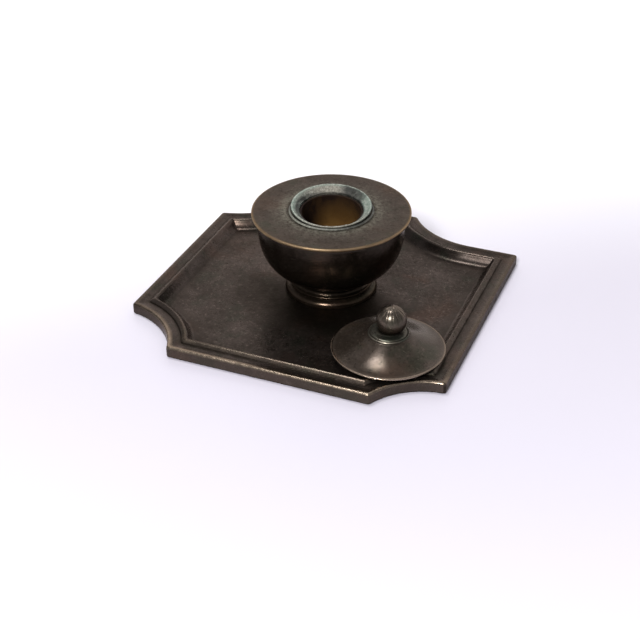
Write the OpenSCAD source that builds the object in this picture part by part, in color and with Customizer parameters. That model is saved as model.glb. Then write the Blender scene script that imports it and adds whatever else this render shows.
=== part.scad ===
// Desk inkwell: a footed bowl with a loose ink liner on a square tray with scooped corners, and its lid laid
// beside it.
// Origin: centre of the tray's underside. +Z up, -Y is the front edge, millimetres.

/* [Tray] */
// Width of the tray, left to right
tray_w = 200; // [180:1:220]
// Depth of the tray, front to back
tray_d = 201.4; // [180:0.2:220]
// Thickness of the tray floor
floor_t = 2.4; // [2.2:0.1:3.5]
// Height of the rounded outer lip
lip_h = 7; // [6:0.1:9]
// Height of the bead inside the lip
bead_h = 8.1; // [7.5:0.1:9]
// Width of the moulding from the edge to the inside of the bead
moulding_w = 12.2; // [10:0.1:13]
// Width of the hollow curve from the bead down to the floor
cove_w = 5; // [4:0.1:6.5]

/* [Tray corners] */
// Front left scoop, run along the front edge
front_left_x = 40.7; // [30:0.1:50]
// Front left scoop, run along the left edge
front_left_y = 34.1; // [25:0.1:45]
// Front left scoop, radius
front_left_r = 50; // [35:1:70]
// Front right scoop, run along the front edge
front_right_x = 35.6; // [30:0.1:50]
// Front right scoop, run along the right edge
front_right_y = 24.9; // [22:0.1:45]
// Front right scoop, radius
front_right_r = 41; // [30:1:70]
// Back right scoop, run along the back edge to the end of its arc
back_right_x = 75.2; // [60:0.1:80]
// Back right scoop, run along the right edge
back_right_y = 24.5; // [20:0.1:40]
// Back right scoop, radius of the arc that ends in a straight shelf
back_right_r = 51.5; // [45:0.5:60]
// Back left scoop, run along the back edge
back_left_x = 52; // [35:0.1:60]
// Back left scoop, run along the left edge
back_left_y = 42.2; // [30:0.1:50]
// Back left scoop, radius
back_left_r = 76; // [45:1:90]

/* [Pot] */
// Distance of the pot's axis to the right of the tray centre
pot_x = 0.7; // [-5:0.1:5]
// Distance of the pot's axis behind the tray centre
pot_y = 4.3; // [-5:0.1:5]
// Largest radius of the foot
foot_r = 28.35; // [26:0.05:30]
// Height of the foot's top above the tray's underside
foot_top = 12.3; // [12:0.1:14]
// Outer radius of the bowl
bowl_r = 44.6; // [43:0.1:47]
// Depth of the bowl's curve below its widest level
bowl_depth = 39; // [38:0.1:41]
// Fullness of the bowl's curve, where 2 is an ellipse
bowl_fullness = 2.8; // [2:0.1:3]
// Wall of the bowl
bowl_wall = 2.4; // [1.8:0.1:3]
// Radius of the flat top plate
plate_r = 48.1; // [46:0.1:50]
// Thickness of the top plate
plate_t = 2; // [1.6:0.1:3]
// Height of the top plate's upper face above the tray's underside
plate_top = 55.4; // [52:0.1:58]

/* [Ink liner] */
// Radius of the mouth
mouth_r = 19.2; // [17:0.1:20]
// Radius of the flared lip's crest
crest_r = 24.2; // [23:0.1:25]
// Height of the crest above the mouth
crest_h = 3.75; // [3:0.05:4.5]
// Lean of the loose liner in its hole, degrees
liner_lean = 4.5; // [0:0.5:5]
// Direction of the lean, degrees to the right of straight forward
lean_heading = 22; // [0:1:45]
// Depth of the ink cup below the mouth
cup_depth = 30; // [24:1:31]

/* [Lid] */
// Radius of the lid
lid_r = 32.7; // [31:0.1:34]
// Distance of the lid to the right of the tray centre
lid_x = 59.4; // [58:0.1:60]
// Distance of the lid in front of the tray centre
lid_y = 55.8; // [54:0.1:57]
// Height of the thin rim's underside above the tray's underside
rim_z = 8.5; // [8.5:0.1:10]
// Rise of the lid from its rim's underside to its collar's top
lid_rise = 11.6; // [10:0.1:13]
// Radius of the stepped collar under the knob
collar_r = 11.8; // [10:0.1:13]
// Radius of the ball knob
knob_r = 8.8; // [8:0.1:10]

/* [Hidden] */
$fn = 96;
eps = 0.01;
bronze = "#3d342a";
dark_bronze = "#241f18";
verdigris = "#8fa596";
brass = "#7a6040";

half_w = tray_w / 2;
half_d = tray_d / 2;
lip_w = 2.6;
bead_w = 4;
channel_h = 6.2;
cove_top = 6.6;
cove_ledge = 0.2;

screw_r = 2;
screw_bore = 2.2;
head_r = 4;
bowl_floor = foot_top + 2.6;
bowl_top = plate_top - plate_t;
bowl_widest = bowl_top - 3;
bowl_steps = 24;
plate_hole_r = mouth_r + 3.1;
liner_tube_r = mouth_r + 2.7;
liner_tube_len = 7;
cup_r = mouth_r - 0.1;
cup_wall = 1.3;
seat_r = crest_r + 1.5;
seat_h = 0.8;

rim_t = 1;
shell_t = 1.2;
spigot_r = 16;
spigot_wall = 1.4;
spigot_len = rim_z - floor_t;
knob_z = lid_rise + 7;
knob_shift = [1.3, 0.5];
stud_r = 2;
nut_h = 2.6;
washer_t = 0.8;

// Centre of a circle of radius r through a and b, on the left of the way from a to b
function arc_centre(a, b, r) =
    let (m = (a + b) / 2, v = b - a, s = norm(v), h = sqrt(r * r - s * s / 4))
    m + h * [-v[1], v[0]] / s;

// Each scoop: its circle's centre and radius
scoops = [
    [arc_centre([front_left_x - half_w, -half_d], [-half_w, front_left_y - half_d], front_left_r),
     front_left_r],
    [arc_centre([half_w, front_right_y - half_d], [half_w - front_right_x, -half_d], front_right_r),
     front_right_r],
    [arc_centre([-half_w, half_d - back_left_y], [back_left_x - half_w, half_d], back_left_r),
     back_left_r],
    [[half_w - back_right_x + sqrt(pow(back_right_r, 2) - pow(back_right_r - back_right_y, 2)),
      half_d - back_right_y + back_right_r], back_right_r],
];
shelf_x = scoops[3][0][0];
shelf_y = half_d - back_right_y;

// The tray's outline, drawn in by d
module outline(d) {
    difference() {
        square([tray_w - 2 * d, tray_d - 2 * d], center = true);
        for (s = scoops)
            translate(s[0])
                circle(r = s[1] + d, $fn = 180);
        translate([shelf_x, shelf_y - d])
            square([half_w, back_right_r + d]);
    }
}

// A band of the moulding between two insets, from the underside up to height h
module band(d0, d1, h) {
    linear_extrude(h)
        difference() {
            outline(d0);
            outline(d1);
        }
}

// Section of the cove, inward from the bead's inner side: a narrow ledge, then an arc that runs out level
// with the floor
module cove_section() {
    rise = cove_top - floor_t;
    run = cove_w - cove_ledge;
    radius = (rise * rise + run * run) / (2 * rise);
    difference() {
        translate([-1, 0])
            square([cove_w + 1, cove_top]);
        translate([cove_w, floor_t + radius])
            circle(r = radius);
    }
}

module straight_cove(length) {
    rotate([90, 0, 90])
        linear_extrude(length, center = true)
            cove_section();
}

module cove() {
    inset = moulding_w;
    intersection() {
        linear_extrude(cove_top)
            outline(inset - 0.5);
        union() {
            translate([0, inset - half_d, 0])
                straight_cove(tray_w);
            translate([0, half_d - inset, 0])
                rotate([0, 0, 180])
                    straight_cove(tray_w);
            translate([half_w - inset, 0, 0])
                rotate([0, 0, 90])
                    straight_cove(tray_d);
            translate([inset - half_w, 0, 0])
                rotate([0, 0, -90])
                    straight_cove(tray_d);
            translate([shelf_x + half_w / 2, shelf_y - inset, 0])
                rotate([0, 0, 180])
                    straight_cove(half_w);
            for (s = scoops)
                translate(s[0])
                    rotate_extrude($fn = 180)
                        translate([s[1] + inset, 0])
                            cove_section();
        }
    }
}

module tray() {
    color(bronze)
        difference() {
            union() {
                linear_extrude(floor_t)
                    outline(0);
                band(0, moulding_w, channel_h);
                band(0, lip_w, lip_h - 0.4);
                band(0.5, lip_w - 0.5, lip_h);
                band(moulding_w - bead_w, moulding_w, bead_h - 0.8);
                band(moulding_w - bead_w + 0.4, moulding_w - 0.8, bead_h - 0.3);
                band(moulding_w - bead_w + 1, moulding_w - 1.6, bead_h);
                cove();
            }
            translate([pot_x, pot_y, -eps])
                cylinder(r = screw_bore, h = floor_t + 1);
            translate([pot_x, pot_y, -eps])
                cylinder(r1 = head_r + 0.4, r2 = screw_bore, h = 2);
        }
}

module at_pot(z = 0) {
    translate([pot_x, pot_y, z])
        children();
}

module pot_foot() {
    color(bronze)
        at_pot()
            rotate_extrude()
                difference() {
                    union() {
                        polygon([[screw_bore, floor_t], [foot_r - 0.4, floor_t], [foot_r, floor_t + 0.4],
                                 [foot_r, floor_t + 1.4], [foot_r - 0.5, floor_t + 2.8],
                                 [foot_r - 1.6, floor_t + 3.9], [foot_r - 3.3, floor_t + 4.8],
                                 [foot_r - 3.5, floor_t + 6.5], [foot_r - 4.6, floor_t + 7.1],
                                 [foot_r - 5.3, floor_t + 8.6], [foot_r - 5, foot_top - 0.4],
                                 [foot_r - 5.2, foot_top], [screw_bore, foot_top]]);
                        translate([foot_r - 3.6, floor_t + 5.7])
                            circle(r = 0.7, $fn = 32);
                    }
                    polygon([[screw_bore + 5, 0], [foot_r - 4, 0], [foot_r - 6, floor_t + 3.5],
                             [foot_r - 9, floor_t + 6], [screw_bore + 5, floor_t + 6]]);
                }
}

// Half section of the bowl's curve, drawn in by the wall: straight below the rim, then round to the axis
function bowl_curve(wall) = [
    for (i = [0 : bowl_steps])
        let (a = 90 * i / bowl_steps, power = 2 / bowl_fullness)
        [(bowl_r - wall) * pow(cos(a), power), bowl_widest - (bowl_depth - wall) * pow(sin(a), power)]
];

module pot_bowl() {
    color(dark_bronze)
        at_pot()
            rotate_extrude($fn = 144)
                difference() {
                    polygon(concat([[0, bowl_top], [bowl_r, bowl_top]], bowl_curve(0)));
                    difference() {
                        polygon(concat([[0, bowl_top + 1], [bowl_r - bowl_wall, bowl_top + 1]],
                                       bowl_curve(bowl_wall)));
                        square([bowl_r, bowl_floor]);
                    }
                    square([bowl_r, foot_top]);
                    square([screw_bore, bowl_top]);
                }
}

module top_plate() {
    locating_r = bowl_r - bowl_wall - 0.4;
    color(bronze)
        at_pot(bowl_top)
            rotate_extrude($fn = 144)
                union() {
                    polygon([[plate_hole_r, 0], [plate_r - 0.4, 0], [plate_r, 0.4], [plate_r, plate_t - 0.4],
                             [plate_r - 0.4, plate_t], [plate_hole_r, plate_t]]);
                    translate([locating_r - 2, -2])
                        square([2, 2 + eps]);
                }
}

module liner_seat() {
    color(verdigris)
        at_pot(plate_top)
            rotate_extrude()
                polygon([[crest_r + 0.4, 0], [seat_r, 0], [seat_r, seat_h - 0.3], [seat_r - 0.3, seat_h],
                         [crest_r + 0.6, seat_h], [crest_r + 0.4, seat_h - 0.2]]);
}

module foot_screw() {
    color(brass)
        at_pot()
            difference() {
                union() {
                    translate([0, 0, 0.2])
                        cylinder(r1 = head_r, r2 = screw_r, h = 1.8);
                    cylinder(r = head_r, h = 0.2);
                    translate([0, 0, 1])
                        cylinder(r = screw_r, h = bowl_floor + washer_t + nut_h + 0.2);
                }
                translate([-head_r, -0.5, -1])
                    cube([2 * head_r, 1, 1.8]);
            }
}

module ring(outer, inner, h) {
    difference() {
        cylinder(r = outer, h = h);
        translate([0, 0, -1])
            cylinder(r = inner, h = h + 2);
    }
}

module hex_nut(across, inner, h) {
    difference() {
        cylinder(r = across / sqrt(3), h = h, $fn = 6);
        translate([0, 0, -1])
            cylinder(r = inner, h = h + 2);
    }
}

module foot_washer() {
    color(brass)
        at_pot(bowl_floor)
            ring(6, screw_bore, washer_t);
}

module foot_nut() {
    color(brass)
        at_pot(bowl_floor + washer_t)
            hex_nut(7, screw_r, nut_h);
}

// The loose liner leans about its own mouth
module at_liner() {
    at_pot(plate_top)
        rotate([0, 0, lean_heading])
            rotate([liner_lean, 0, 0])
                children();
}

module liner_collar() {
    lift = crest_r * sin(liner_lean) + 0.15;
    color(verdigris)
        at_liner()
            rotate_extrude()
                polygon([[mouth_r, 0.1], [crest_r - 0.8, crest_h - 0.2], [crest_r - 0.2, crest_h],
                         [crest_r, crest_h - 0.3], [crest_r, lift], [plate_hole_r, lift - 0.15],
                         [liner_tube_r, lift - 0.4], [liner_tube_r, -liner_tube_len],
                         [mouth_r, -liner_tube_len]]);
}

module ink_cup() {
    inner = cup_r - cup_wall;
    color(brass)
        at_liner()
            rotate_extrude()
                difference() {
                    polygon([[0, -cup_depth - cup_wall], [cup_r - 4, -cup_depth - cup_wall],
                             [cup_r, -cup_depth + 3], [cup_r, -1.2], [cup_r - 0.3, -0.9],
                             [inner, -0.9], [0, -0.9]]);
                    polygon([[0, -cup_depth], [inner - 3.4, -cup_depth], [inner, -cup_depth + 3.6],
                             [inner, 1], [0, 1]]);
                }
}

module at_lid(z = 0) {
    translate([lid_x, -lid_y, rim_z + z])
        children();
}

// Height of the lid's upper face over its rim, a hollow curve from the thin rim up to the collar
function lid_height(r) = rim_t + (lid_rise - 1.4 - rim_t) * pow((lid_r - r) / (lid_r - collar_r), 1.3);

module lid_shell() {
    span = lid_r - collar_r;
    outer = [for (i = [0 : 12]) let (r = lid_r - span * i / 12) [r, lid_height(r)]];
    inner = [for (i = [12 : -1 : 1]) let (r = lid_r - span * i / 12) [r - 1, lid_height(r) - shell_t]];
    color(bronze)
        at_lid()
            rotate_extrude()
                polygon(concat([[lid_r - 1, 0], [lid_r, 0.3]], outer, [[stud_r + 0.1, lid_height(collar_r)]],
                               [[stud_r + 0.1, lid_height(collar_r) - shell_t]], inner));
}

module lid_spigot() {
    top = lid_height(spigot_r + 1) - shell_t;
    low = lid_height(spigot_r + 1 - spigot_wall) - shell_t;
    color(bronze)
        at_lid(-spigot_len)
            rotate_extrude()
                polygon([[spigot_r - spigot_wall, 0], [spigot_r - 0.3, 0], [spigot_r, 0.3],
                         [spigot_r, spigot_len + top - 0.02],
                         [spigot_r - spigot_wall, spigot_len + min(top, low) - 0.02]]);
}

module lid_collar() {
    base = lid_height(collar_r);
    color(bronze)
        at_lid(base)
            rotate_extrude()
                polygon([[stud_r + 0.1, 0], [collar_r, 0], [collar_r, 0.5], [collar_r - 0.5, 0.8],
                         [collar_r - 1.1, 0.4], [collar_r - 1.4, 1], [collar_r - 2.2, 1.3], [6.6, 1.4],
                         [5.2, 2.2], [stud_r + 0.1, 2.2]]);
}

// The ball sits a little off the lid's axis on the collar and takes the stud in a blind hole
module knob() {
    neck_z = lid_height(collar_r) + 2.2;
    color(bronze)
        at_lid()
            difference() {
                translate([knob_shift[0], knob_shift[1], knob_z])
                    sphere(r = knob_r);
                translate([0, 0, neck_z - knob_r])
                    cylinder(r = knob_r + 2, h = knob_r);
                translate([0, 0, neck_z - 1])
                    cylinder(r = stud_r, h = 6);
            }
}

module knob_stud() {
    low = lid_height(collar_r) - shell_t - washer_t - nut_h - 1;
    color(brass)
        at_lid(low)
            cylinder(r = stud_r, h = lid_height(collar_r) + 7 - low);
}

module knob_washer() {
    color(brass)
        at_lid(lid_height(collar_r) - shell_t - washer_t)
            ring(5, stud_r + 0.1, washer_t);
}

module knob_nut() {
    color(brass)
        at_lid(lid_height(collar_r) - shell_t - washer_t - nut_h)
            hex_nut(7, stud_r, nut_h);
}

tray();
pot_foot();
pot_bowl();
top_plate();
liner_seat();
foot_screw();
foot_washer();
foot_nut();
liner_collar();
ink_cup();
lid_shell();
lid_spigot();
lid_collar();
knob();
knob_stud();
knob_washer();
knob_nut();
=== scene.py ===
"""Looks of the bronze desk inkwell: a footed bowl with a loose, corroded ink liner on a square tray with
scooped corners, and its lid with a ribbed ball knob laid on the tray. Shapes are worked out in millimetres,
turned pieces about their own axis, and become metres where a mesh is made."""

import math

import bmesh
import bpy
import numpy as np
from mathutils import Matrix, Vector


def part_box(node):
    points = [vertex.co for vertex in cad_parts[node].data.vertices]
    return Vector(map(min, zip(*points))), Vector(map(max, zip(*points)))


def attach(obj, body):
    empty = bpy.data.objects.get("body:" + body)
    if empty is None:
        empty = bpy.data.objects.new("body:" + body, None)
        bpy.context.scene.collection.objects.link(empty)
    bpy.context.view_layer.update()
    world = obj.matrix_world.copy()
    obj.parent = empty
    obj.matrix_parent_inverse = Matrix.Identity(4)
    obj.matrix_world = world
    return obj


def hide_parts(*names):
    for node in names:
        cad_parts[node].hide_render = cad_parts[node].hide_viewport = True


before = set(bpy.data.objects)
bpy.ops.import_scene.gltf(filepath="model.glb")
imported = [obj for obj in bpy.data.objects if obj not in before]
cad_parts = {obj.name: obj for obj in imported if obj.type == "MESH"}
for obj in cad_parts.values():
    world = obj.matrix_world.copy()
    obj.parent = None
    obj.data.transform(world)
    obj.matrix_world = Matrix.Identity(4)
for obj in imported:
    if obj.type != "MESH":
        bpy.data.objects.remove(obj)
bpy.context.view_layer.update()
MM = 0.001


def box_mm(node):
    """Lowest and highest corner of a CAD node, in millimetres."""
    low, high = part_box(node)
    return np.array(low) / MM, np.array(high) / MM


def centre_mm(node):
    """Middle of a CAD node's box seen from above, in millimetres."""
    low, high = box_mm(node)
    return (low[0] + high[0]) / 2, (low[1] + high[1]) / 2


def radius_mm(node):
    """Half the width of a round CAD node, in millimetres."""
    low, high = box_mm(node)
    return (high[0] - low[0]) / 2


# Sizes and places read from the CAD nodes
TRAY_LOW, TRAY_HIGH = box_mm("tray")
HALF_W = (TRAY_HIGH[0] - TRAY_LOW[0]) / 2
HALF_D = (TRAY_HIGH[1] - TRAY_LOW[1]) / 2
BEAD_TOP = TRAY_HIGH[2]
FLOOR_TOP = box_mm("pot_foot")[0][2]
POT_X, POT_Y = centre_mm("top_plate")
FOOT_TOP = box_mm("pot_foot")[1][2]
FOOT_R = radius_mm("pot_foot")
BOWL_R = radius_mm("pot_bowl")
PLATE_R = radius_mm("top_plate")
PLATE_TOP = box_mm("top_plate")[1][2]
PLATE_T = PLATE_TOP - box_mm("pot_bowl")[1][2]
SEAT_R = radius_mm("liner_seat")
SEAT_TOP = box_mm("liner_seat")[1][2]
LID_X, LID_Y = centre_mm("lid_shell")
LID_R = radius_mm("lid_shell")
RIM_Z = box_mm("lid_shell")[0][2]
SPIGOT_R = radius_mm("lid_spigot")
SPIGOT_LOW = box_mm("lid_spigot")[0][2]
COLLAR_LOW = box_mm("lid_collar")[0][2]
COLLAR_TOP = box_mm("lid_collar")[1][2]
KNOB_LOW, KNOB_HIGH = box_mm("knob")
KNOB_R = radius_mm("knob")

# The liner: its mouth and flared crest, the plate's hole for it, its lean and the cup below
MOUTH_R = 19.2
CREST_R = 24.2
CREST_H = 3.75
HOLE_R = MOUTH_R + 3.1
LINER_LEAN = math.radians(4.5)
LEAN_HEADING = math.radians(22)
CUP_R = 19.1
CUP_WALL = 1.3
CUP_DEPTH = 30

# The screw's bore and countersink through the tray
BORE_R = 2.2
SINK_R = 4.4
SINK_TOP = 1.9

# The tray's moulding: the lip's height, and how far in from the edge the crease, bead and cove end
LIP_TOP = 7.0
CREASE = 8.2
MOULDING_W = 12.2
COVE_END = 17.2


# ---------------------------------------------------------------- mesh helpers


def make_object(name, points_mm, faces, place=None):
    """A smooth mesh object from points in millimetres, put at a place matrix in metres."""
    mesh = bpy.data.meshes.new(name)
    mesh.from_pydata([tuple(p) for p in np.asarray(points_mm) * MM], [], faces)
    mesh.validate()
    mesh.shade_smooth()
    obj = bpy.data.objects.new(name, mesh)
    bpy.context.scene.collection.objects.link(obj)
    if place is not None:
        obj.matrix_world = place
    weights = obj.modifiers.new("weighted", "WEIGHTED_NORMAL")
    weights.weight = 60
    return obj


def vertices_mm(obj):
    """Every vertex in the piece's own frame, in millimetres."""
    flat = np.zeros(len(obj.data.vertices) * 3)
    obj.data.vertices.foreach_get("co", flat)
    return flat.reshape(-1, 3) / MM


def polar_mm(obj):
    """Radius, angle and height of every vertex about the piece's own axis."""
    v = vertices_mm(obj)
    return np.hypot(v[:, 0], v[:, 1]), np.arctan2(v[:, 1], v[:, 0]), v[:, 2]


def paint(obj, name, values):
    """Stores one number for each vertex, which the material reads by name."""
    attribute = obj.data.attributes.new(name, "FLOAT", "POINT")
    attribute.data.foreach_set("value", np.clip(values, 0, 1).astype(np.float32))


def curve(start, middle, end, t):
    """The curve from start to end that is drawn towards middle, at t from 0 to 1."""
    return (1 - t) ** 2 * start + 2 * t * (1 - t) * middle + t * t * end


def soften(corners, steps=5):
    """A line through (x, y, r) corners, each rounded by a curve that starts r before the corner."""
    corners = [(c[0], c[1], c[2] if len(c) > 2 else 0.0) for c in corners]
    line = []
    for i, (x, y, r) in enumerate(corners):
        here = np.array([x, y])
        if r == 0 or i == 0 or i == len(corners) - 1:
            line.append(here)
            continue
        back = np.array(corners[i - 1][:2]) - here
        on = np.array(corners[i + 1][:2]) - here
        start = here + back * min(r / np.linalg.norm(back), 0.48)
        end = here + on * min(r / np.linalg.norm(on), 0.48)
        for t in np.linspace(0, 1, steps):
            line.append(curve(start, here, end, t))
    return np.array(line)


def ring_faces(rings, around, closed):
    """Four-sided faces between neighbouring rings of points, and from the last to the first if closed."""
    faces = []
    last = rings if closed else rings - 1
    for i in range(last):
        a, b = i * around, ((i + 1) % rings) * around
        for j in range(around):
            k = (j + 1) % around
            faces.append((a + j, a + k, b + k, b + j))
    return faces


def turned(name, line, place, around=192, closed=True):
    """A piece turned on a lathe: a closed (radius, height) line, counter-clockwise, swept round Z."""
    angle = np.linspace(0, 2 * math.pi, around, endpoint=False)
    rings = [np.stack([r * np.cos(angle), r * np.sin(angle), np.full(around, z)], 1) for r, z in line]
    faces = ring_faces(len(line), around, closed)
    return make_object(name, np.concatenate(rings), faces, place)


def close_ends(obj, around, rings):
    """Closes the two small round ends of a piece made of rings, the last of them ring number rings."""
    made = bmesh.new()
    made.from_mesh(obj.data)
    made.verts.ensure_lookup_table()
    top = rings * around
    made.faces.new([made.verts[i] for i in range(around)][::-1])
    made.faces.new([made.verts[top + i] for i in range(around)])
    for face in made.faces:
        face.smooth = True
    made.to_mesh(obj.data)
    made.free()


def at(x, y, z=0.0):
    """A place matrix for a point given in millimetres."""
    return Matrix.Translation(Vector((x, y, z)) * MM)


def near(obj, spots, width):
    """How close each vertex is to the (radius, height) spots, as 1 on a spot falling to 0."""
    r, _, z = polar_mm(obj)
    found = np.zeros(len(r))
    for spot_r, spot_z in spots:
        found = np.maximum(found, np.exp(-((r - spot_r) ** 2 + (z - spot_z) ** 2) / width**2))
    return found


# ---------------------------------------------------------------- material helpers


class Shade:
    """Builds one node material. A value in inputs may be a number, a colour or another node's socket."""

    def __init__(self, name):
        self.material = bpy.data.materials.new(name)
        self.material.use_nodes = True
        self.tree = self.material.node_tree
        self.surface = self.tree.nodes["Principled BSDF"]
        self.coord = self.add("ShaderNodeTexCoord").outputs["Object"]

    def add(self, kind, inputs=None, **settings):
        node = self.tree.nodes.new(kind)
        for key, value in settings.items():
            setattr(node, key, value)
        for key, value in (inputs or {}).items():
            self.put(node.inputs[key], value)
        return node

    def put(self, socket, value):
        """Links a socket to a socket, or sets a number or colour on it."""
        if isinstance(value, bpy.types.NodeSocket):
            self.tree.links.new(value, socket)
        elif isinstance(value, (tuple, list)) and len(value) == 3 and socket.type == "RGBA":
            socket.default_value = (*value, 1)
        else:
            socket.default_value = value

    def noise(self, scale, detail=4.0, rough=0.55, stretch=None, warp=0.0):
        """Noise in the piece's own frame, with scale in waves to the metre, drawn out by stretch."""
        vector = self.coord
        if stretch is not None:
            vector = self.add("ShaderNodeMapping", {"Vector": vector, "Scale": stretch}).outputs[0]
        made = self.add(
            "ShaderNodeTexNoise",
            {"Vector": vector, "Scale": scale, "Detail": detail, "Roughness": rough, "Distortion": warp},
        )
        return made.outputs["Fac"]

    def math(self, operation, a, b=0.0, clamp=False):
        node = self.add("ShaderNodeMath", {0: a, 1: b}, operation=operation, use_clamp=clamp)
        return node.outputs[0]

    def fit(self, value, low, high, to_low=0.0, to_high=1.0):
        """Takes low to to_low and high to to_high, smoothly, and holds the ends."""
        inputs = {"Value": value, 1: low, 2: high, 3: to_low, 4: to_high}
        return self.add("ShaderNodeMapRange", inputs, interpolation_type="SMOOTHSTEP").outputs[0]

    def mix(self, factor, a, b):
        """Colour a where the factor is 0 and colour b where it is 1."""
        node = self.add("ShaderNodeMix", data_type="RGBA")
        self.put(node.inputs[0], factor)
        self.put(node.inputs[6], a)
        self.put(node.inputs[7], b)
        return node.outputs[2]

    def attribute(self, name):
        return self.add("ShaderNodeAttribute", attribute_name=name).outputs["Fac"]

    def radius(self):
        """Distance from the piece's own axis, in metres."""
        parts = self.add("ShaderNodeSeparateXYZ", {0: self.coord})
        flat = self.add("ShaderNodeCombineXYZ", {0: parts.outputs[0], 1: parts.outputs[1]})
        return self.add("ShaderNodeVectorMath", {0: flat.outputs[0]}, operation="LENGTH").outputs["Value"]

    def bump(self, height, distance, strength=1.0, normal=None):
        inputs = {"Height": height, "Distance": distance, "Strength": strength}
        if normal is not None:
            inputs["Normal"] = normal
        return self.add("ShaderNodeBump", inputs).outputs[0]

    def finish(self, **values):
        """Sets the surface's inputs by name, with _ for a space, and returns the material."""
        for key, value in values.items():
            self.put(self.surface.inputs[key.replace("_", " ")], value)
        return self.material


# Near black: the colour of real stains and dark flecks, and of painted shade in creases, joints and
# undersides
GRIME_AND_SHADE = (0.010, 0.007, 0.004)
WARM_EDGE = (0.66, 0.61, 0.58)


def brushed(s, scale):
    """Fine scratches that run two ways across a piece, as two masks."""
    a = s.noise(scale, 3, 0.7, stretch=(0.08, 2.2, 1.0))
    b = s.noise(scale, 3, 0.7, stretch=(2.0, 0.07, 1.0))
    return s.fit(a, 0.6, 0.74), s.fit(b, 0.64, 0.76)


def turning_lines(s, scale):
    """Fine rings about the piece's axis, as a lathe tool leaves them."""
    lines = s.add("ShaderNodeTexNoise", {"W": s.radius(), "Scale": scale, "Detail": 2}, noise_dimensions="1D")
    return lines.outputs["Fac"]


def cloudy_skin(s, deep, pale, cloud, stains, scratch):
    """Colour of the patina: deep and pale clouds with olive and russet ones, light scratches, dark stains."""
    olive = (deep[0] * 0.95, deep[1] * 1.2, deep[2] * 1.1)
    russet = (pale[0] * 1.1, pale[1] * 0.84, pale[2] * 0.72)
    colour = s.mix(s.fit(s.noise(cloud, 6, 0.6, warp=0.6), 0.34, 0.68), deep, pale)
    colour = s.mix(s.fit(s.noise(62, 6, 0.65), 0.48, 0.66, 0.0, 0.85), colour, olive)
    colour = s.mix(s.fit(s.noise(23, 5, 0.6, warp=0.4), 0.5, 0.7, 0.0, 0.7), colour, russet)
    colour = s.mix(s.math("MULTIPLY", scratch, 0.45), colour, tuple(c * 1.5 for c in pale))
    return s.mix(s.fit(stains, 0.52, 0.78, 0.0, 0.65), colour, GRIME_AND_SHADE)


def flecks(s, colour, specks, pale, fleck, rough_skin):
    """Adds light and dark flecks, weaker where the skin is calm."""
    light_mask = s.math("MULTIPLY", s.fit(specks, 0.57, 0.67, 0.0, fleck), rough_skin)
    dark_mask = s.math("MULTIPLY", s.fit(specks, 0.46, 0.34, 0.0, 0.85), rough_skin)
    colour = s.mix(light_mask, colour, tuple(c * 2.3 for c in pale))
    return s.mix(dark_mask, colour, GRIME_AND_SHADE)


def cast_skin(s, stains, specks, scratches, rough_skin):
    """Bump of a cast surface: grains, stains and specks stand up, scratches are cut in."""
    grains = s.noise(1700, 3, 0.6)
    height = s.math("ADD", s.math("MULTIPLY", grains, 0.4), s.math("MULTIPLY", stains, 0.9))
    height = s.math("ADD", height, s.math("MULTIPLY", specks, 0.5))
    height = s.math("SUBTRACT", height, s.math("MULTIPLY", scratches, 0.3))
    return s.bump(height, 0.00007, rough_skin)


def bronze(name, deep, pale, wear_and_sheen, rough, turning=0.0, cloud=38.0, stain=None, fleck=0.5, metal=0.82):
    """Old patinated bronze: cloudy brown skin, small stains and pits, fine scratches, bright edges from wear
    and painted highlight, and painted shade.
    """
    s = Shade(name)
    stains = s.noise(210, 8, 0.66)
    specks = s.noise(640, 5, 0.7)
    scratch_a, scratch_b = brushed(s, 420)
    calm = s.math("MAXIMUM", s.attribute("calm"), s.fit(s.attribute("wear_and_sheen"), 0.0, 0.5))
    rough_skin = s.fit(calm, 0.0, 1.0, 1.0, 0.25)
    colour = cloudy_skin(s, deep, pale, cloud, stains, scratch_a)
    colour = flecks(s, colour, specks, pale, fleck, rough_skin)
    if stain is not None:
        ring = s.math("MULTIPLY", s.attribute("stain"), s.fit(specks, 0.4, 0.62, 0.15, 1.0))
        colour = s.mix(ring, colour, stain)
    # Bright edge colour: real wear, and on some fronts and tops a painted highlight
    edge = s.math("MULTIPLY", s.attribute("wear_and_sheen"), s.fit(stains, 0.3, 0.7, 0.75, 1.2), clamp=True)
    colour = s.mix(edge, colour, wear_and_sheen)
    # Painted shade: creases, joints and undersides darkened towards near black
    shade_mask = s.math("MULTIPLY", s.attribute("painted_shade"), s.fit(stains, 0.25, 0.6, 0.6, 1.0))
    colour = s.mix(shade_mask, colour, GRIME_AND_SHADE)
    matt = s.math("ADD", s.fit(stains, 0.3, 0.75, rough - 0.03, rough + 0.07), s.math("MULTIPLY", shade_mask, 0.2))
    matt = s.math("ADD", matt, s.math("MULTIPLY", scratch_a, 0.08))
    normal = cast_skin(s, stains, specks, s.math("ADD", scratch_a, scratch_b), rough_skin)
    if turning:
        normal = s.bump(turning_lines(s, 2600), 0.00001 * turning, normal=normal)
    bare = s.fit(s.attribute("wear_and_sheen"), 0.0, 0.4, metal, 1.0)
    values = dict(Base_Color=colour, Metallic=bare, Roughness=matt, Normal=normal)
    return s.finish(Specular_Tint=WARM_EDGE, **values)


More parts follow.
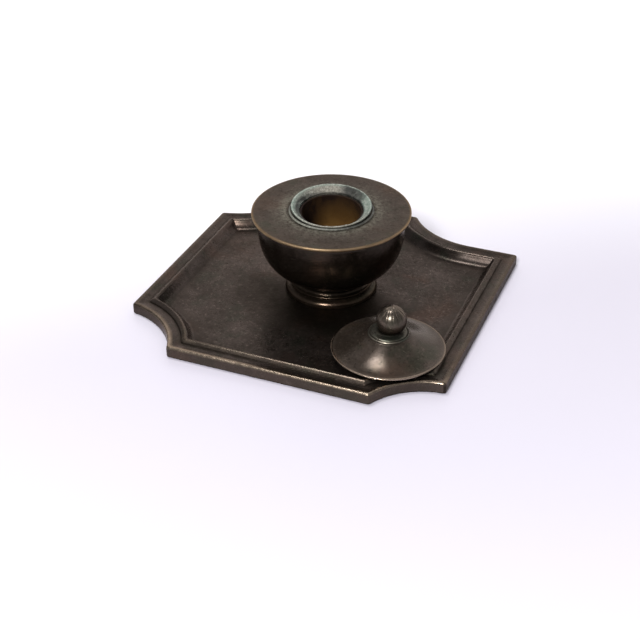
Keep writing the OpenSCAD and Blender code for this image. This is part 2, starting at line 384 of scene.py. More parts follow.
def verdigris(name):
    """The liner's collar: pale green corrosion, chalky white crusts and dark patches of bare metal, whose
    dark colour also carries painted shade.
    """
    s = Shade(name)
    crust = s.noise(900, 8, 0.7)
    patches = s.noise(150, 6, 0.6, warp=0.8)
    mint = s.mix(s.fit(patches, 0.35, 0.65), (0.12, 0.165, 0.135), (0.23, 0.28, 0.235))
    beige = s.mix(s.fit(crust, 0.4, 0.6), (0.15, 0.14, 0.11), (0.28, 0.26, 0.22))
    colour = s.mix(s.attribute("beige"), mint, beige)
    colour = s.mix(s.fit(crust, 0.59, 0.68, 0.0, 0.8), colour, (0.46, 0.48, 0.43))
    chalk = s.math("MULTIPLY", s.attribute("crust"), s.fit(crust, 0.46, 0.56))
    colour = s.mix(chalk, colour, (0.56, 0.56, 0.50))
    bare = s.math("MULTIPLY", s.attribute("bare"), s.fit(patches, 0.3, 0.6, 0.65, 1.0))
    bare = s.math("ADD", bare, s.fit(s.noise(420, 6, 0.7), 0.6, 0.68, 0.0, 0.5), clamp=True)
    colour = s.mix(bare, colour, (0.027, 0.027, 0.023))
    metal = s.math("MULTIPLY", bare, 0.5)
    matt = s.fit(bare, 0.0, 1.0, 0.75, 0.5)
    normal = s.bump(s.math("ADD", crust, patches), 0.0004)
    return s.finish(Base_Color=colour, Metallic=metal, Roughness=matt, Normal=normal)


def stained_cup(name):
    """Inside of the ink cup: dark dried ink above and to the left, ochre brown stain below."""
    s = Shade(name)
    patches = s.noise(110, 6, 0.6, warp=0.5)
    fine = s.noise(1100, 6, 0.65)
    ochre = s.mix(s.fit(patches, 0.3, 0.7), (0.075, 0.036, 0.008), (0.14, 0.072, 0.018))
    dark = s.math("ADD", s.attribute("ink"), s.fit(patches, 0.3, 0.7, -0.15, 0.15), clamp=True)
    colour = s.mix(dark, ochre, (0.010, 0.004, 0.002))
    colour = s.mix(s.fit(fine, 0.62, 0.75, 0.0, 0.5), colour, (0.02, 0.012, 0.006))
    normal = s.bump(s.math("ADD", patches, fine), 0.00012)
    matt = s.fit(fine, 0.3, 0.7, 0.6, 0.8)
    return s.finish(Base_Color=colour, Specular_IOR_Level=0.18, Roughness=matt, Normal=normal)


def turned_brass(name):
    """Dull brass of the screws, washers and nuts, with dark stains."""
    s = Shade(name)
    stains = s.noise(500, 6, 0.6)
    fine = s.noise(2500, 3, 0.6, stretch=(1, 1, 6))
    colour = s.mix(s.fit(stains, 0.35, 0.65), (0.30, 0.20, 0.085), (0.42, 0.30, 0.14))
    colour = s.mix(s.fit(stains, 0.6, 0.75), colour, (0.07, 0.05, 0.03))
    normal = s.bump(fine, 0.00003)
    matt = s.fit(stains, 0.3, 0.7, 0.36, 0.5)
    return s.finish(Base_Color=colour, Metallic=1.0, Roughness=matt, Normal=normal)


# ---------------------------------------------------------------- the tray

# Each scooped corner: its run along the front or back edge, its run along the side, its radius.
# The back right one runs out on a straight shelf to the side.
FRONT_LEFT = (40.7, 34.1, 50.0)
FRONT_RIGHT = (35.6, 24.9, 41.0)
BACK_RIGHT = (75.2, 24.5, 51.5)
BACK_LEFT = (52.0, 42.2, 76.0)


def arc_centre(a, b, r):
    """Centre of a circle of radius r through a and b, on the left of the way from a to b."""
    a, b = np.array(a), np.array(b)
    way = b - a
    span = np.linalg.norm(way)
    rise = math.sqrt(r * r - span * span / 4)
    return (a + b) / 2 + rise * np.array([-way[1], way[0]]) / span


def scoop_centres():
    """Centres of the four scoops' circles."""
    x, y, r = FRONT_LEFT
    front_left = arc_centre((x - HALF_W, -HALF_D), (-HALF_W, y - HALF_D), r)
    x, y, r = FRONT_RIGHT
    front_right = arc_centre((HALF_W, y - HALF_D), (HALF_W - x, -HALF_D), r)
    x, y, r = BACK_LEFT
    back_left = arc_centre((-HALF_W, HALF_D - y), (x - HALF_W, HALF_D), r)
    x, y, r = BACK_RIGHT
    back_right = np.array([HALF_W - x + math.sqrt(r * r - (r - y) ** 2), HALF_D - y + r])
    return front_left, front_right, back_left, back_right


def arc_point(centre, radius, x=None, y=None, side=1):
    """Where a circle meets the line of a given x or y, on the chosen side."""
    if x is None:
        return np.array([centre[0] + side * math.sqrt(radius**2 - (y - centre[1]) ** 2), y])
    return np.array([x, centre[1] + side * math.sqrt(radius**2 - (x - centre[0]) ** 2)])


def along_line(a, b, parts):
    """Points on the straight way from a to b, at parts from 0 to 1."""
    return a + (b - a) * parts[:, None]


def along_arc(centre, a, b, parts):
    """Points on the shorter arc about the centre from a to b, at parts from 0 to 1."""
    start = math.atan2(a[1] - centre[1], a[0] - centre[0])
    turn = math.atan2(b[1] - centre[1], b[0] - centre[0]) - start
    turn = (turn + math.pi) % (2 * math.pi) - math.pi
    angle = start + turn * parts
    return centre + np.linalg.norm(a - centre) * np.stack([np.cos(angle), np.sin(angle)], 1)


def outline(inset, corner, per_stretch=44):
    """The tray's edge drawn in by inset, counter-clockwise, with its nine corners rounded over corner mm."""
    fl, fr, bl, br = scoop_centres()
    left, right, front, back = inset - HALF_W, HALF_W - inset, inset - HALF_D, HALF_D - inset
    shelf = HALF_D - BACK_RIGHT[1] - inset
    r_fl, r_fr, r_bl, r_br = (c[2] + inset for c in (FRONT_LEFT, FRONT_RIGHT, BACK_LEFT, BACK_RIGHT))
    spots = [
        arc_point(fl, r_fl, y=front),
        arc_point(fr, r_fr, y=front, side=-1),
        arc_point(fr, r_fr, x=right),
        np.array([right, shelf]),
        np.array([br[0], shelf]),
        arc_point(br, r_br, y=back, side=-1),
        arc_point(bl, r_bl, y=back),
        arc_point(bl, r_bl, x=left, side=-1),
        arc_point(fl, r_fl, x=left),
    ]
    arcs = {1: fr, 4: br, 6: bl, 8: fl}
    stretches = []
    for i, a in enumerate(spots):
        b = spots[(i + 1) % len(spots)]
        trim = min(corner / np.linalg.norm(b - a), 0.3)
        parts = trim + (1 - 2 * trim) * (1 - np.cos(np.linspace(0, math.pi, per_stretch))) / 2
        stretches.append(along_arc(arcs[i], a, b, parts) if i in arcs else along_line(a, b, parts))
    points = []
    t = np.array([0.25, 0.5, 0.75])[:, None]
    for i, stretch in enumerate(stretches):
        points.append(stretch)
        end, spot = stretch[-1], spots[(i + 1) % len(spots)]
        start = stretches[(i + 1) % len(spots)][0]
        points.append(curve(end, spot, start, t))
    return np.concatenate(points)


def moulding_section():
    """The tray's section from its underside's edge over the lip, channel, bead and cove: (inset, height)."""
    edge = soften(
        [
            (0.9, 0.0),
            (0.0, 0.5, 0.5),
            (0.0, 2.6),
            (0.0, LIP_TOP + 0.45, 2.2),
            (5.0, 6.2, 1.4),
            (CREASE - 0.15, 6.1, 0.35),
            (CREASE + 0.1, BEAD_TOP - 1.35, 0.3),
            (CREASE + 2.4, BEAD_TOP + 0.15, 1.7),
            (MOULDING_W - 0.5, BEAD_TOP - 0.4, 0.7),
            (MOULDING_W + 0.1, 7.0),
        ],
        7,
    )
    t = np.linspace(0, 1, 14)[1:, None]
    start, middle, end = np.array([[MOULDING_W + 0.1, 7.0], [14.5, 3.0], [COVE_END, FLOOR_TOP]])
    return np.concatenate([edge, curve(start, middle, end, t)])


# How far the flat rings go from the moulding, or from the underside's edge, in to the bore
FLOOR_PARTS = (0.06, 0.15, 0.3, 0.45, 0.6, 0.75, 0.88)
UNDER_PARTS = (0.75, 0.5, 0.25, 0.1)
OUT_OF_SIGHT = 60


def level(flat, height):
    """A loop of (x, y) points, all at one height."""
    return np.column_stack([flat, np.full(len(flat), height)])


def tray_loops():
    """Loops over the moulding, the floor, the bore and the underside, and each loop's inset from the edge."""
    loops, insets = [], []
    for inset, height in moulding_section():
        loops.append(level(outline(inset, 1.6 - 0.06 * inset), height))
        insets.append(inset)
    axis = np.array([POT_X, POT_Y])
    rim, under = loops[-1][:, :2], loops[0][:, :2]
    away = (rim - axis) / np.linalg.norm(rim - axis, axis=1)[:, None]
    for part in FLOOR_PARTS:
        loops.append(level(rim * (1 - part) + (axis + away * BORE_R) * part, FLOOR_TOP))
        insets.append(COVE_END + 40 * part)
    for r, z in ((BORE_R, FLOOR_TOP), (BORE_R, SINK_TOP), (SINK_R, 0.0)):
        loops.append(level(axis + away * r, z))
        insets.append(OUT_OF_SIGHT)
    for part in UNDER_PARTS:
        loops.append(level(under * (1 - part) + (axis + away * SINK_R) * part, 0.0))
        insets.append(OUT_OF_SIGHT)
    return loops, insets


def paint_tray(tray, inset):
    """Wear on the lip and bead, brightest at the front where it is also a painted highlight, a faint painted
    highlight on the front outer face, and painted shade in the crease, in the cove, before the pot, on the
    right outer face and underneath.
    """
    v = vertices_mm(tray)
    x, y, height = v[:, 0], v[:, 1], v[:, 2]
    front = np.clip((-y - 62) / 25, 0, 1)
    # Wear on the lip and bead, weighted to the front, where it also serves as a painted highlight; the front
    # outer face gets a faint painted highlight
    wear_and_sheen = np.interp(inset, [0, 0.2, 1.8, 3.2, 8.3, 9.2, 11, 12.1, 13], [0.0, 1, 0.9, 0, 0, 0.3, 0.2, 0, 0])
    face = 0.12 * front * (inset < 0.5)
    paint(tray, "wear_and_sheen", np.where(height < 6.0, face, wear_and_sheen * (0.2 + 0.8 * front)))
    paint(tray, "calm", np.interp(inset, [0, COVE_END - 1, COVE_END + 3], [0.9, 0.9, 0]))
    # Painted shade in the crease and the cove, on the floor before the pot, on the right outer face and
    # underneath
    painted_shade = np.interp(inset, [5.2, 6.8, 7.6, 8.2, 8.5, 15, 17, 19, 26], [0, 0.2, 0.6, 1, 0, 0.0, 0.4, 0.2, 0])
    away = np.hypot(x - POT_X, y - POT_Y)
    ahead = np.clip((POT_Y - y) / 20 + 0.3, 0, 1)
    shade = 0.95 * np.clip((70 - away) / 30, 0, 1) * ahead * (inset > COVE_END)
    right_face = 0.75 * (x > HALF_W - 1) * (height < 5.5)
    paint(tray, "painted_shade", np.where(height < 1, 0.6, painted_shade + shade + right_face))


def build_tray():
    loops, insets = tray_loops()
    around = len(loops[0])
    tray = make_object("bronze_tray", np.concatenate(loops), ring_faces(len(loops), around, True))
    paint_tray(tray, np.repeat(insets, around))
    deep, pale, rubbed_and_sheen = (0.031, 0.024, 0.020), (0.054, 0.042, 0.0365), (0.26, 0.205, 0.155)
    tray.data.materials.append(bronze("tray_bronze", deep, pale, rubbed_and_sheen, rough=0.25, fleck=0.9))
    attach(tray, "base")
    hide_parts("tray")


# ---------------------------------------------------------------- the pot


def build_foot():
    r, low, top = FOOT_R, FLOOR_TOP, FOOT_TOP
    line = soften(
        [
            (BORE_R, low),
            (BORE_R + 5, low),
            (BORE_R + 5, low + 6, 0.5),
            (r - 9, low + 6, 0.5),
            (r - 6, low + 3.5, 0.5),
            (r - 4.8, low),
            (r, low, 0.3),
            (r, low + 1.3, 0.6),
            (r - 0.35, low + 2.7, 1.0),
            (r - 1.6, low + 4.0, 1.0),
            (r - 3.5, low + 4.85, 0.2),
            (r - 2.9, low + 5.4, 0.4),
            (r - 3.0, low + 6.2, 0.5),
            (r - 3.9, low + 6.6, 0.3),
            (r - 4.7, low + 7.2, 0.7),
            (r - 5.3, low + 8.5, 0.7),
            (r - 5.25, low + 9.2, 0.2),
            (r - 4.95, low + 9.5, 0.15),
            (r - 5.2, top, 0.2),
            (BORE_R, top),
        ],
        6,
    )
    foot = turned("pot_foot_turned", line, at(POT_X, POT_Y))
    paint(foot, "wear_and_sheen", near(foot, [(r - 0.3, low + 2.6), (r - 3.0, low + 5.9)], 1.0) * 0.35)
    # Painted shade in the two creases and along the bottom edge where the foot stands on the tray
    creases = [(r - 3.5, low + 4.85), (r - 5.3, low + 8.7), (r, low)]
    paint(foot, "painted_shade", near(foot, creases, 0.8))
    deep, pale, rubbed_and_sheen = (0.020, 0.014, 0.009), (0.038, 0.027, 0.020), (0.10, 0.07, 0.05)
    foot.data.materials.append(bronze("foot_bronze", deep, pale, rubbed_and_sheen, rough=0.22, turning=2))
    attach(foot, "base")
    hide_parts("pot_foot")


BOWL_WALL = 2.4
BOWL_FLOOR = 2.6
BOWL_DEPTH = 39.0
BOWL_FULLNESS = 2.8


def bowl_curve(wall, low, steps=48):
    """The bowl's side drawn in by the wall, from its widest level down to the height low."""
    widest = PLATE_TOP - PLATE_T - 3
    a = np.linspace(0, math.pi / 2, steps, endpoint=False)
    r = (BOWL_R - wall) * np.cos(a) ** (2 / BOWL_FULLNESS)
    z = widest - (BOWL_DEPTH - wall) * np.sin(a) ** (2 / BOWL_FULLNESS)
    keep = z > low + 0.2
    r_low = np.interp(low, z[::-1], r[::-1])
    return np.concatenate([np.stack([r, z], 1)[keep], [[r_low, low]]])


def build_bowl():
    top = PLATE_TOP - PLATE_T
    outside = bowl_curve(0, FOOT_TOP)
    inside = bowl_curve(BOWL_WALL, FOOT_TOP + BOWL_FLOOR)
    line = np.concatenate(
        [
            [[BORE_R, FOOT_TOP]],
            outside[::-1],
            [[BOWL_R, top], [BOWL_R - BOWL_WALL, top]],
            inside,
            [[BORE_R, FOOT_TOP + BOWL_FLOOR]],
        ]
    )
    bowl = turned("pot_bowl_turned", line, at(POT_X, POT_Y), 224)
    paint(bowl, "wear_and_sheen", near(bowl, [(BOWL_R, top)], 1.0) * 0.3)
    # Painted shade low on the bowl, where it meets the foot
    paint(bowl, "painted_shade", near(bowl, [(16.5, FOOT_TOP)], 5.0))
    deep, pale, rubbed_and_sheen = (0.018, 0.013, 0.009), (0.034, 0.026, 0.020), (0.10, 0.08, 0.06)
    bowl.data.materials.append(bronze("bowl_bronze", deep, pale, rubbed_and_sheen, rough=0.19, turning=1.4))
    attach(bowl, "base")
    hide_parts("pot_bowl")


def build_plate():
    locating = BOWL_R - BOWL_WALL - 0.4
    low = PLATE_TOP - PLATE_T
    line = soften(
        [
            (HOLE_R, low),
            (locating - 2, low),
            (locating - 2, low - 2),
            (locating, low - 2),
            (locating, low),
            (PLATE_R - 0.3, low, 0.5),
            (PLATE_R, low + 0.9, 0.5),
            (PLATE_R - 0.05, PLATE_TOP - 0.2, 0.5),
            (PLATE_R - 1.2, PLATE_TOP, 0.5),
            (40, PLATE_TOP),
            (34, PLATE_TOP),
            (31.5, PLATE_TOP),
            (29.5, PLATE_TOP),
            (27.8, PLATE_TOP),
            (26, PLATE_TOP),
            (HOLE_R, PLATE_TOP, 0.2),
            (HOLE_R, low + 0.5),
        ],
        5,
    )
    plate = turned("top_plate_turned", line, at(POT_X, POT_Y), 224)
    r, _, z = polar_mm(plate)
    paint(plate, "wear_and_sheen", near(plate, [(PLATE_R, PLATE_TOP - 0.5), (PLATE_R, PLATE_TOP - 1.1)], 0.9))
    halo = np.interp(r, [25, 26.5, 29, 33, 40], [0.7, 1, 0.7, 0.2, 0.0])
    paint(plate, "stain", halo * (z > PLATE_TOP - 0.1))
    # Painted shade round the foot of the seat and on the underside
    paint(plate, "painted_shade", near(plate, [(SEAT_R + 0.4, PLATE_TOP)], 0.7) * 0.8 + (z < low) * 0.5)
    deep, pale, rubbed_and_sheen = (0.042, 0.033, 0.026), (0.062, 0.049, 0.040), (0.30, 0.21, 0.12)
    look = dict(rough=0.38, turning=2.2, cloud=60, stain=(0.175, 0.17, 0.135))
    plate.data.materials.append(bronze("plate_bronze", deep, pale, rubbed_and_sheen, **look))
    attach(plate, "base")
    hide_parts("top_plate")


def build_seat():
    inner, low, top = CREST_R + 0.4, PLATE_TOP, SEAT_TOP
    line = soften(
        [
            (inner, low + 0.05),
            (inner, low),
            (SEAT_R, low),
            (SEAT_R - 0.1, low + 0.15, 0.1),
            (SEAT_R - 0.7, low + 0.45, 0.4),
            (inner + 0.3, top, 0.3),
            (inner, top - 0.15, 0.1),
            (inner, low + 0.1),
        ]
    )
    seat = turned("liner_seat_turned", line, at(POT_X, POT_Y))
    _, angle, _ = polar_mm(seat)
    paint(seat, "beige", np.full(len(angle), 0.8))
    front = np.clip(-np.sin(angle + 0.35) * 1.6 - 0.7, 0, 1)
    paint(seat, "bare", 0.85 - 0.7 * front)
    seat.data.materials.append(verdigris("seat_verdigris"))
    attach(seat, "base")
    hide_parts("liner_seat")


# ---------------------------------------------------------------- the loose liner


def liner_place():
    """The liner leans about its own mouth, towards the front."""
    turn = Matrix.Rotation(LEAN_HEADING, 4, "Z") @ Matrix.Rotation(LINER_LEAN, 4, "X")
    return at(POT_X, POT_Y, PLATE_TOP) @ turn


def paint_collar(collar, r, angle, z):
    """Beige at the back and front, bare metal in patches, painted shade on the right side, and chalk at the
    sides and along the crest.
    """
    back = np.clip(np.cos(angle - math.radians(95)) * 1.5 - 0.35, 0, 1)
    front = np.clip(-np.sin(angle) * 1.3 - 0.2, 0, 1)
    funnel = np.clip((CREST_R - 1.0 - r) / 1.2, 0, 1)
    paint(collar, "beige", back * (0.3 + 0.7 * funnel) + front)
    patch = np.exp(-((angle - math.radians(50)) ** 4) / 0.03) * np.clip((CREST_R - 0.7 - r) / 0.5, 0, 1)
    left = np.clip(-np.cos(angle - 0.15) * 1.4, 0, 1)
    ledge = np.clip((MOUTH_R + 0.9 + 1.4 * left - r) / 0.6, 0, 1)
    outer = (r > CREST_R - 0.2) * (z < CREST_H - 0.7) * 0.6
    # Painted shade: the right side darker through the bare metal's dark colour
    right = 0.22 * np.clip(np.cos(angle + 0.2), 0, 1)
    bare = patch * 1.1 + (1 - 0.45 * back) * ledge + outer * 1.6 + 0.35 * funnel * left
    paint(collar, "bare", bare + right)
    sides = np.clip(np.abs(np.cos(angle - 0.1)) * 1.6 - 0.55, 0, 1)
    sides = sides * (0.75 - 0.25 * np.cos(angle))
    inner_crust = sides * np.exp(-((r - MOUTH_R - 1.9) ** 2) / 1.2) * (1 - patch)
    crest_line = 0.55 * np.exp(-((r - CREST_R + 0.6) ** 2) / 0.2)
    paint(collar, "crust", np.maximum(inner_crust, crest_line) * (z > 0))


def build_collar():
    """The flared collar; its under-edge is cut away so that the leaning collar clears the plate."""
    lift = CREST_R * math.sin(LINER_LEAN) + 0.15
    line = soften(
        [
            (MOUTH_R, 0.3),
            (MOUTH_R, -7),
            (HOLE_R - 0.4, -7, 0.2),
            (HOLE_R - 0.4, lift - 0.4, 0.2),
            (HOLE_R + 0.1, lift - 0.15, 0.2),
            (CREST_R, lift, 0.3),
            (CREST_R, CREST_H - 0.35, 0.4),
            (CREST_R - 0.7, CREST_H, 0.5),
            (CREST_R - 1.7, CREST_H - 0.7, 0.6),
            (MOUTH_R + 1.2, 0.8, 0.8),
            (MOUTH_R, 0.25, 0.4),
        ],
        7,
    )
    collar = turned("liner_collar_flared", line, liner_place(), 224)
    v = vertices_mm(collar)
    r, angle = np.hypot(v[:, 0], v[:, 1]), np.arctan2(v[:, 1], v[:, 0])
    lump = 0.09 * np.sin(5 * angle + 1) + 0.07 * np.sin(11 * angle) + 0.05 * np.sin(23 * angle + 2)
    inside = (v[:, 2] > 0.2) & (r < CREST_R - 0.4)
    v[inside, 2] -= (np.abs(lump) * 1.5)[inside]
    collar.data.vertices.foreach_set("co", (v * MM).ravel())
    paint_collar(collar, r, angle, v[:, 2])
    collar.data.materials.append(verdigris("collar_verdigris"))
    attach(collar, "liner")
    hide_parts("liner_collar")


def build_cup():
    inner = CUP_R - CUP_WALL
    outside = [
        (1, -CUP_DEPTH - CUP_WALL),
        (CUP_R - 4, -CUP_DEPTH - CUP_WALL, 1.5),
        (CUP_R, -CUP_DEPTH + 3, 1.5),
        (CUP_R, -0.9, 0.4),
    ]
    inside = [
        (inner + 0.1, -0.9, 0.4),
        (inner, -CUP_DEPTH + 5, 4),
        (inner - 5, -CUP_DEPTH, 4),
        (1, -CUP_DEPTH),
    ]
    line = soften(outside + inside, 7)
    around = 160
    cup = turned("ink_cup_turned", line, liner_place(), around, closed=False)
    close_ends(cup, around, len(line) - 1)
    _, angle, z = polar_mm(cup)
    high = np.clip((z + 9) / 5, 0, 1)
    left = np.clip(-np.cos(angle - 0.2) * 1.3 + 0.15, 0, 1)
    paint(cup, "ink", np.maximum(high, left))
    cup.data.materials.append(stained_cup("stained_brass"))
    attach(cup, "liner")
    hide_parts("ink_cup")


# ---------------------------------------------------------------- the lid

COLLAR_R = 11.8
LID_RISE = COLLAR_LOW - RIM_Z
LID_HOLLOW = 1.5
RIM_T = 1.0
SHELL_T = 1.2
STUD_R = 2.0


def lid_height(r):
    """Height of the lid's upper face over its rim: a hollow curve from the thin rim up to the collar."""
    return RIM_T + (LID_RISE - RIM_T) * ((LID_R - r) / (LID_R - COLLAR_R)) ** LID_HOLLOW


def build_lid_shell():
    radii = np.linspace(COLLAR_R, LID_R - 1.2, 22)
    top = [(r, lid_height(r)) for r in radii]
    under = [(r - 1, lid_height(r) - SHELL_T) for r in radii]
    rim = soften(
        [
            under[-1],
            (LID_R - 1, 0.05, 0.2),
            (LID_R, 0.1, 0.4),
            (LID_R, RIM_T + 0.05, 0.45),
            (LID_R - 1.2, top[-1][1], 0.3),
            top[-2],
        ],
        6,
    )
    peak = lid_height(COLLAR_R)
    line = np.concatenate(
        [
            [[STUD_R + 0.1, peak - SHELL_T]],
            under[:-1],
            rim[1:-1],
            top[::-1][2:],
            [[STUD_R + 0.1, peak]],
        ]
    )
    shell = turned("lid_shell_turned", line, at(LID_X, LID_Y, RIM_Z), 224)
    _, angle, _ = polar_mm(shell)
    # Wear on the rim all round, twice as strong towards the front, where it is also a painted highlight
    front = np.clip(-np.sin(angle + 0.3) + 0.5, 0.5, 1)
    paint(shell, "wear_and_sheen", near(shell, [(LID_R - 0.2, RIM_T - 0.2)], 0.8) * front)
    paint(shell, "calm", np.full(len(angle), 0.4))
    # Painted shade round the foot of the collar
    paint(shell, "painted_shade", near(shell, [(COLLAR_R + 0.4, peak)], 1.0) * 0.7)
    deep, pale, rubbed_and_sheen = (0.040, 0.030, 0.023), (0.068, 0.053, 0.043), (0.36, 0.285, 0.225)
    look = dict(rough=0.2, turning=1.2, cloud=55, fleck=0.5, metal=0.6)
    shell.data.materials.append(bronze("lid_bronze", deep, pale, rubbed_and_sheen, **look))
    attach(shell, "lid")
    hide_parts("lid_shell")


def build_spigot():
    wall = 1.4
    low = SPIGOT_LOW
    high = RIM_Z + lid_height(SPIGOT_R + 1) - SHELL_T - 0.02
    line = soften(
        [
            (SPIGOT_R - wall, low + 0.5),
            (SPIGOT_R - wall, low, 0.3),
            (SPIGOT_R, low, 0.3),
            (SPIGOT_R, high),
            (SPIGOT_R - wall, high),
            (SPIGOT_R - wall, low + 1),
        ]
    )
    spigot = turned("lid_spigot_turned", line, at(LID_X, LID_Y), 128)
    paint(spigot, "wear_and_sheen", near(spigot, [(SPIGOT_R, low)], 0.8))
    # Painted shade at the top, where it meets the shell's underside
    paint(spigot, "painted_shade", near(spigot, [(SPIGOT_R, high)], 2.0))
    deep, pale, rubbed_and_sheen = (0.040, 0.031, 0.024), (0.066, 0.054, 0.044), (0.22, 0.18, 0.14)
    spigot.data.materials.append(bronze("spigot_bronze", deep, pale, rubbed_and_sheen, rough=0.36))
    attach(spigot, "lid")
    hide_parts("lid_spigot")


def build_lid_collar():
    r = COLLAR_R
    line = soften(
        [
            (STUD_R + 0.1, 0),
            (r, 0),
            (r, 0.35, 0.25),
            (r - 0.5, 0.75, 0.35),
            (r - 1.05, 0.4, 0.15),
            (r - 1.3, 0.95, 0.25),
            (r - 2.0, 1.25, 0.5),
            (7.0, 1.35, 0.6),
            (6.0, 2.0, 0.4),
            (5.0, COLLAR_TOP - COLLAR_LOW),
            (STUD_R + 0.1, COLLAR_TOP - COLLAR_LOW),
        ],
        6,
    )
    collar = turned("lid_collar_stepped", line, at(LID_X, LID_Y, COLLAR_LOW), 160)
    _, angle, _ = polar_mm(collar)
    # A painted highlight on the front of the outer edge
    front = np.clip(-np.sin(angle) * 2 - 1, 0, 1)
    paint(collar, "wear_and_sheen", near(collar, [(r - 0.4, 0.6)], 0.5) * front)
    # Painted shade in the groove, and a painted shadow of the knob round its foot
    paint(collar, "painted_shade", near(collar, [(r - 1.05, 0.4)], 0.45) + near(collar, [(5.5, 1.8)], 1.5))
    deep, pale, rubbed_and_sheen = (0.066, 0.062, 0.050), (0.10, 0.094, 0.076), (0.34, 0.30, 0.24)
    collar.data.materials.append(bronze("collar_bronze", deep, pale, rubbed_and_sheen, rough=0.28, turning=1))
    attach(collar, "lid")
    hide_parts("lid_collar")


RIBS = 16
RIB_DEPTH = 0.14
CAP_RISE = 0.12


def build_knob():
    """A ball with grooves that run down from its small raised cap and die out at its middle."""
    around, rings = RIBS * 20, 72
    floor_z = COLLAR_TOP
    cx, cy = (KNOB_LOW[0] + KNOB_HIGH[0]) / 2, (KNOB_LOW[1] + KNOB_HIGH[1]) / 2
    cz = KNOB_HIGH[2] - KNOB_R
    lowest = math.asin((floor_z - cz) / KNOB_R)
    latitude = np.linspace(lowest, math.radians(89.2), rings)
    angle = np.linspace(0, 2 * math.pi, around, endpoint=False)
    points = [np.stack([np.cos(angle), np.sin(angle), np.full(around, floor_z - cz)], 1)]
    cuts = [np.zeros(around)]
    groove = np.abs(np.cos(angle * RIBS / 2)) ** 16
    for lat in latitude:
        fade = np.clip((math.sin(lat) - 0.1) * 1.8, 0, 1) * np.clip((math.pi / 2 - lat) / 0.30 - 0.25, 0, 1)
        cap = CAP_RISE * math.exp(-(((math.pi / 2 - lat) / 0.16) ** 2))
        r = KNOB_R - CAP_RISE + cap - RIB_DEPTH * fade * groove
        r = np.minimum(r, KNOB_R)
        flat = r * math.cos(lat)
        points.append(np.stack([flat * np.cos(angle), flat * np.sin(angle), r * math.sin(lat)], 1))
        cuts.append(groove * fade)
    faces = ring_faces(rings + 1, around, False)
    knob = make_object("ribbed_knob", np.concatenate(points), faces, at(cx, cy, cz))
    close_ends(knob, around, rings)
    v = vertices_mm(knob)
    cut = np.concatenate(cuts)
    paint(knob, "calm", np.full(len(v), 0.8))
    # Painted shade in the grooves and on the underside
    paint(knob, "painted_shade", cut * 0.8 + np.clip((-v[:, 2] - 0.3) / 3.5, 0, 1))
    # Lighter towards the top, off the grooves: partly wear from handling, partly a painted highlight
    paint(knob, "wear_and_sheen", np.clip(v[:, 2] / KNOB_R, 0, 1) * (1 - cut) * 0.45)
    deep, pale, rubbed_and_sheen = (0.060, 0.045, 0.035), (0.098, 0.077, 0.061), (0.24, 0.205, 0.17)
    knob.data.materials.append(bronze("knob_bronze", deep, pale, rubbed_and_sheen, rough=0.27))
    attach(knob, "lid")
    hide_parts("knob")


# ---------------------------------------------------------------- carried-over CAD pieces


def dress_fasteners():
    """The hidden screw, stud, washers and nuts stay as the CAD made them."""
    brass = turned_brass("fastener_brass")
    for name in ("foot_screw", "foot_washer", "foot_nut", "knob_stud", "knob_washer", "knob_nut"):
        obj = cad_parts[name]
        obj.data.materials.clear()
        obj.data.materials.append(brass)


# ---------------------------------------------------------------- floor, light and camera


def build_floor():
    """A pale floor a hair below the tray, so wide that low views don't see its edge; it glows as painted
    light, more far from the tray and towards the back left.
    """
    half, drop = 40.0, 0.0002
    mesh = bpy.data.meshes.new("floor")
    corners = [(-half, -half, 0), (half, -half, 0), (half, half, 0), (-half, half, 0)]
    mesh.from_pydata(corners, [], [(0, 1, 2, 3)])
    floor = bpy.data.objects.new("floor", mesh)
    floor.location = (0, 0, -drop)
    bpy.context.scene.collection.objects.link(floor)
    s = Shade("pale_floor")
    way = s.add("ShaderNodeVectorMath", {0: s.coord, 1: (-0.6, 0.8, 0.0)}, operation="DOT_PRODUCT")
    far = s.fit(way.outputs["Value"], -0.05, 0.2)
    colour = s.mix(far, (0.64, 0.61, 0.69), (0.86, 0.85, 0.89))
    # Painted light: the floor glows, more far from the tray and towards the back left
    glow = s.math("ADD", s.fit(s.radius(), 0.14, 0.7, 0.0, 0.45), s.math("MULTIPLY", far, 0.12))
    floor.data.materials.append(
        s.finish(Base_Color=colour, Roughness=0.5, Emission_Color=(1.0, 0.99, 1.0), Emission_Strength=glow)
    )


def build_backdrop():
    """A bright card far behind, which the flat bronze mirrors."""
    y, half, low, high = 1.7, 2.6, 0.0, 2.6
    mesh = bpy.data.meshes.new("backdrop")
    corners = [(-half, y, low), (half, y, low), (half, y, high), (-half, y, high)]
    mesh.from_pydata(corners, [], [(0, 1, 2, 3)])
    card = bpy.data.objects.new("backdrop", mesh)
    bpy.context.scene.collection.objects.link(card)
    s = Shade("white_card")
    across = s.add("ShaderNodeVectorMath", {0: s.coord, 1: (1, 0, 0)}, operation="DOT_PRODUCT")
    glow = s.fit(across.outputs["Value"], -0.95, -0.3, 0.66, 0.4)
    values = dict(Emission_Color=(1.0, 0.945, 0.905), Emission_Strength=glow)
    card.data.materials.append(s.finish(Base_Color=(0.8, 0.8, 0.8), Roughness=0.9, **values))


def aim(location, target):
    """The turn that points a lamp at the target."""
    way = Vector(target) - Vector(location)
    return way.to_track_quat("-Z", "Y").to_euler()


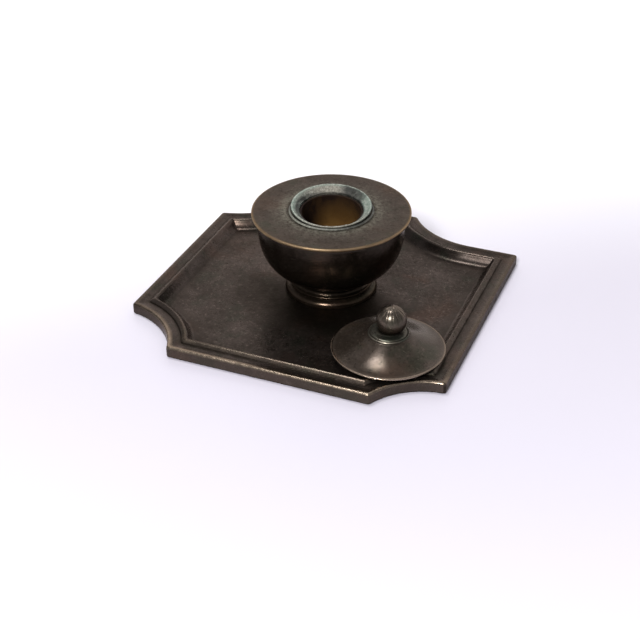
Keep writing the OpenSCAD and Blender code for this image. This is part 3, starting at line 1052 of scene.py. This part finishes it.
def softbox(name, azimuth, elevation, distance, side, power):
    """A square lamp at a direction seen from the tray; azimuth 0 is straight in front, 90 to the right."""
    a, e = math.radians(azimuth), math.radians(elevation)
    way = Vector((math.sin(a) * math.cos(e), -math.cos(a) * math.cos(e), math.sin(e)))
    target = Vector((0, 0, 0.03))
    light = bpy.data.lights.new(name, "AREA")
    light.shape = "RECTANGLE"
    light.size, light.size_y = side, side
    light.energy = power
    obj = bpy.data.objects.new(name, light)
    obj.location = target + way * distance
    obj.rotation_euler = aim(obj.location, target)
    obj.visible_camera = False
    bpy.context.scene.collection.objects.link(obj)


def build_light():
    """Pale surroundings, a key lamp in front and a weak one high up on the left."""
    world = bpy.data.worlds.new("studio")
    world.use_nodes = True
    background = world.node_tree.nodes["Background"]
    background.inputs["Color"].default_value = (0.96, 0.97, 1.0, 1)
    background.inputs["Strength"].default_value = 0.34
    bpy.context.scene.world = world
    softbox("key", azimuth=2, elevation=41, distance=1.5, side=0.24, power=20)
    softbox("overhead", azimuth=-98, elevation=78, distance=1.4, side=0.3, power=7)


CAMERA_PLACE = (0.25161, -0.62808, 0.41902)
CAMERA_AZIMUTH = 22.237
CAMERA_ELEVATION = 33.031
CAMERA_ROLL = -0.225
CAMERA_LENS = 72.2


def build_camera():
    """The photo's camera: it looks down on the tray from in front and to the right."""
    a, e, roll = (math.radians(x) for x in (CAMERA_AZIMUTH, CAMERA_ELEVATION, CAMERA_ROLL))
    back = Vector((math.sin(a) * math.cos(e), -math.cos(a) * math.cos(e), math.sin(e)))
    right = (-back).cross(Vector((0, 0, 1))).normalized()
    up = back.cross(right)
    turned_right = right * math.cos(roll) + up * math.sin(roll)
    turned_up = up * math.cos(roll) - right * math.sin(roll)
    camera_data = bpy.data.cameras.new("camera")
    camera_data.lens = CAMERA_LENS
    camera_data.sensor_width = 36
    camera_data.clip_start = 0.01
    camera = bpy.data.objects.new("camera", camera_data)
    basis = Matrix((turned_right, turned_up, back)).transposed().to_4x4()
    camera.matrix_world = Matrix.Translation(CAMERA_PLACE) @ basis
    bpy.context.scene.collection.objects.link(camera)
    bpy.context.scene.camera = camera
    bpy.context.scene.view_settings.view_transform = "Standard"


build_camera()
build_tray()
build_foot()
build_bowl()
build_plate()
build_seat()
build_collar()
build_cup()
build_lid_shell()
build_spigot()
build_lid_collar()
build_knob()
dress_fasteners()
build_floor()
build_backdrop()
build_light()

bpy.context.view_layer.update()
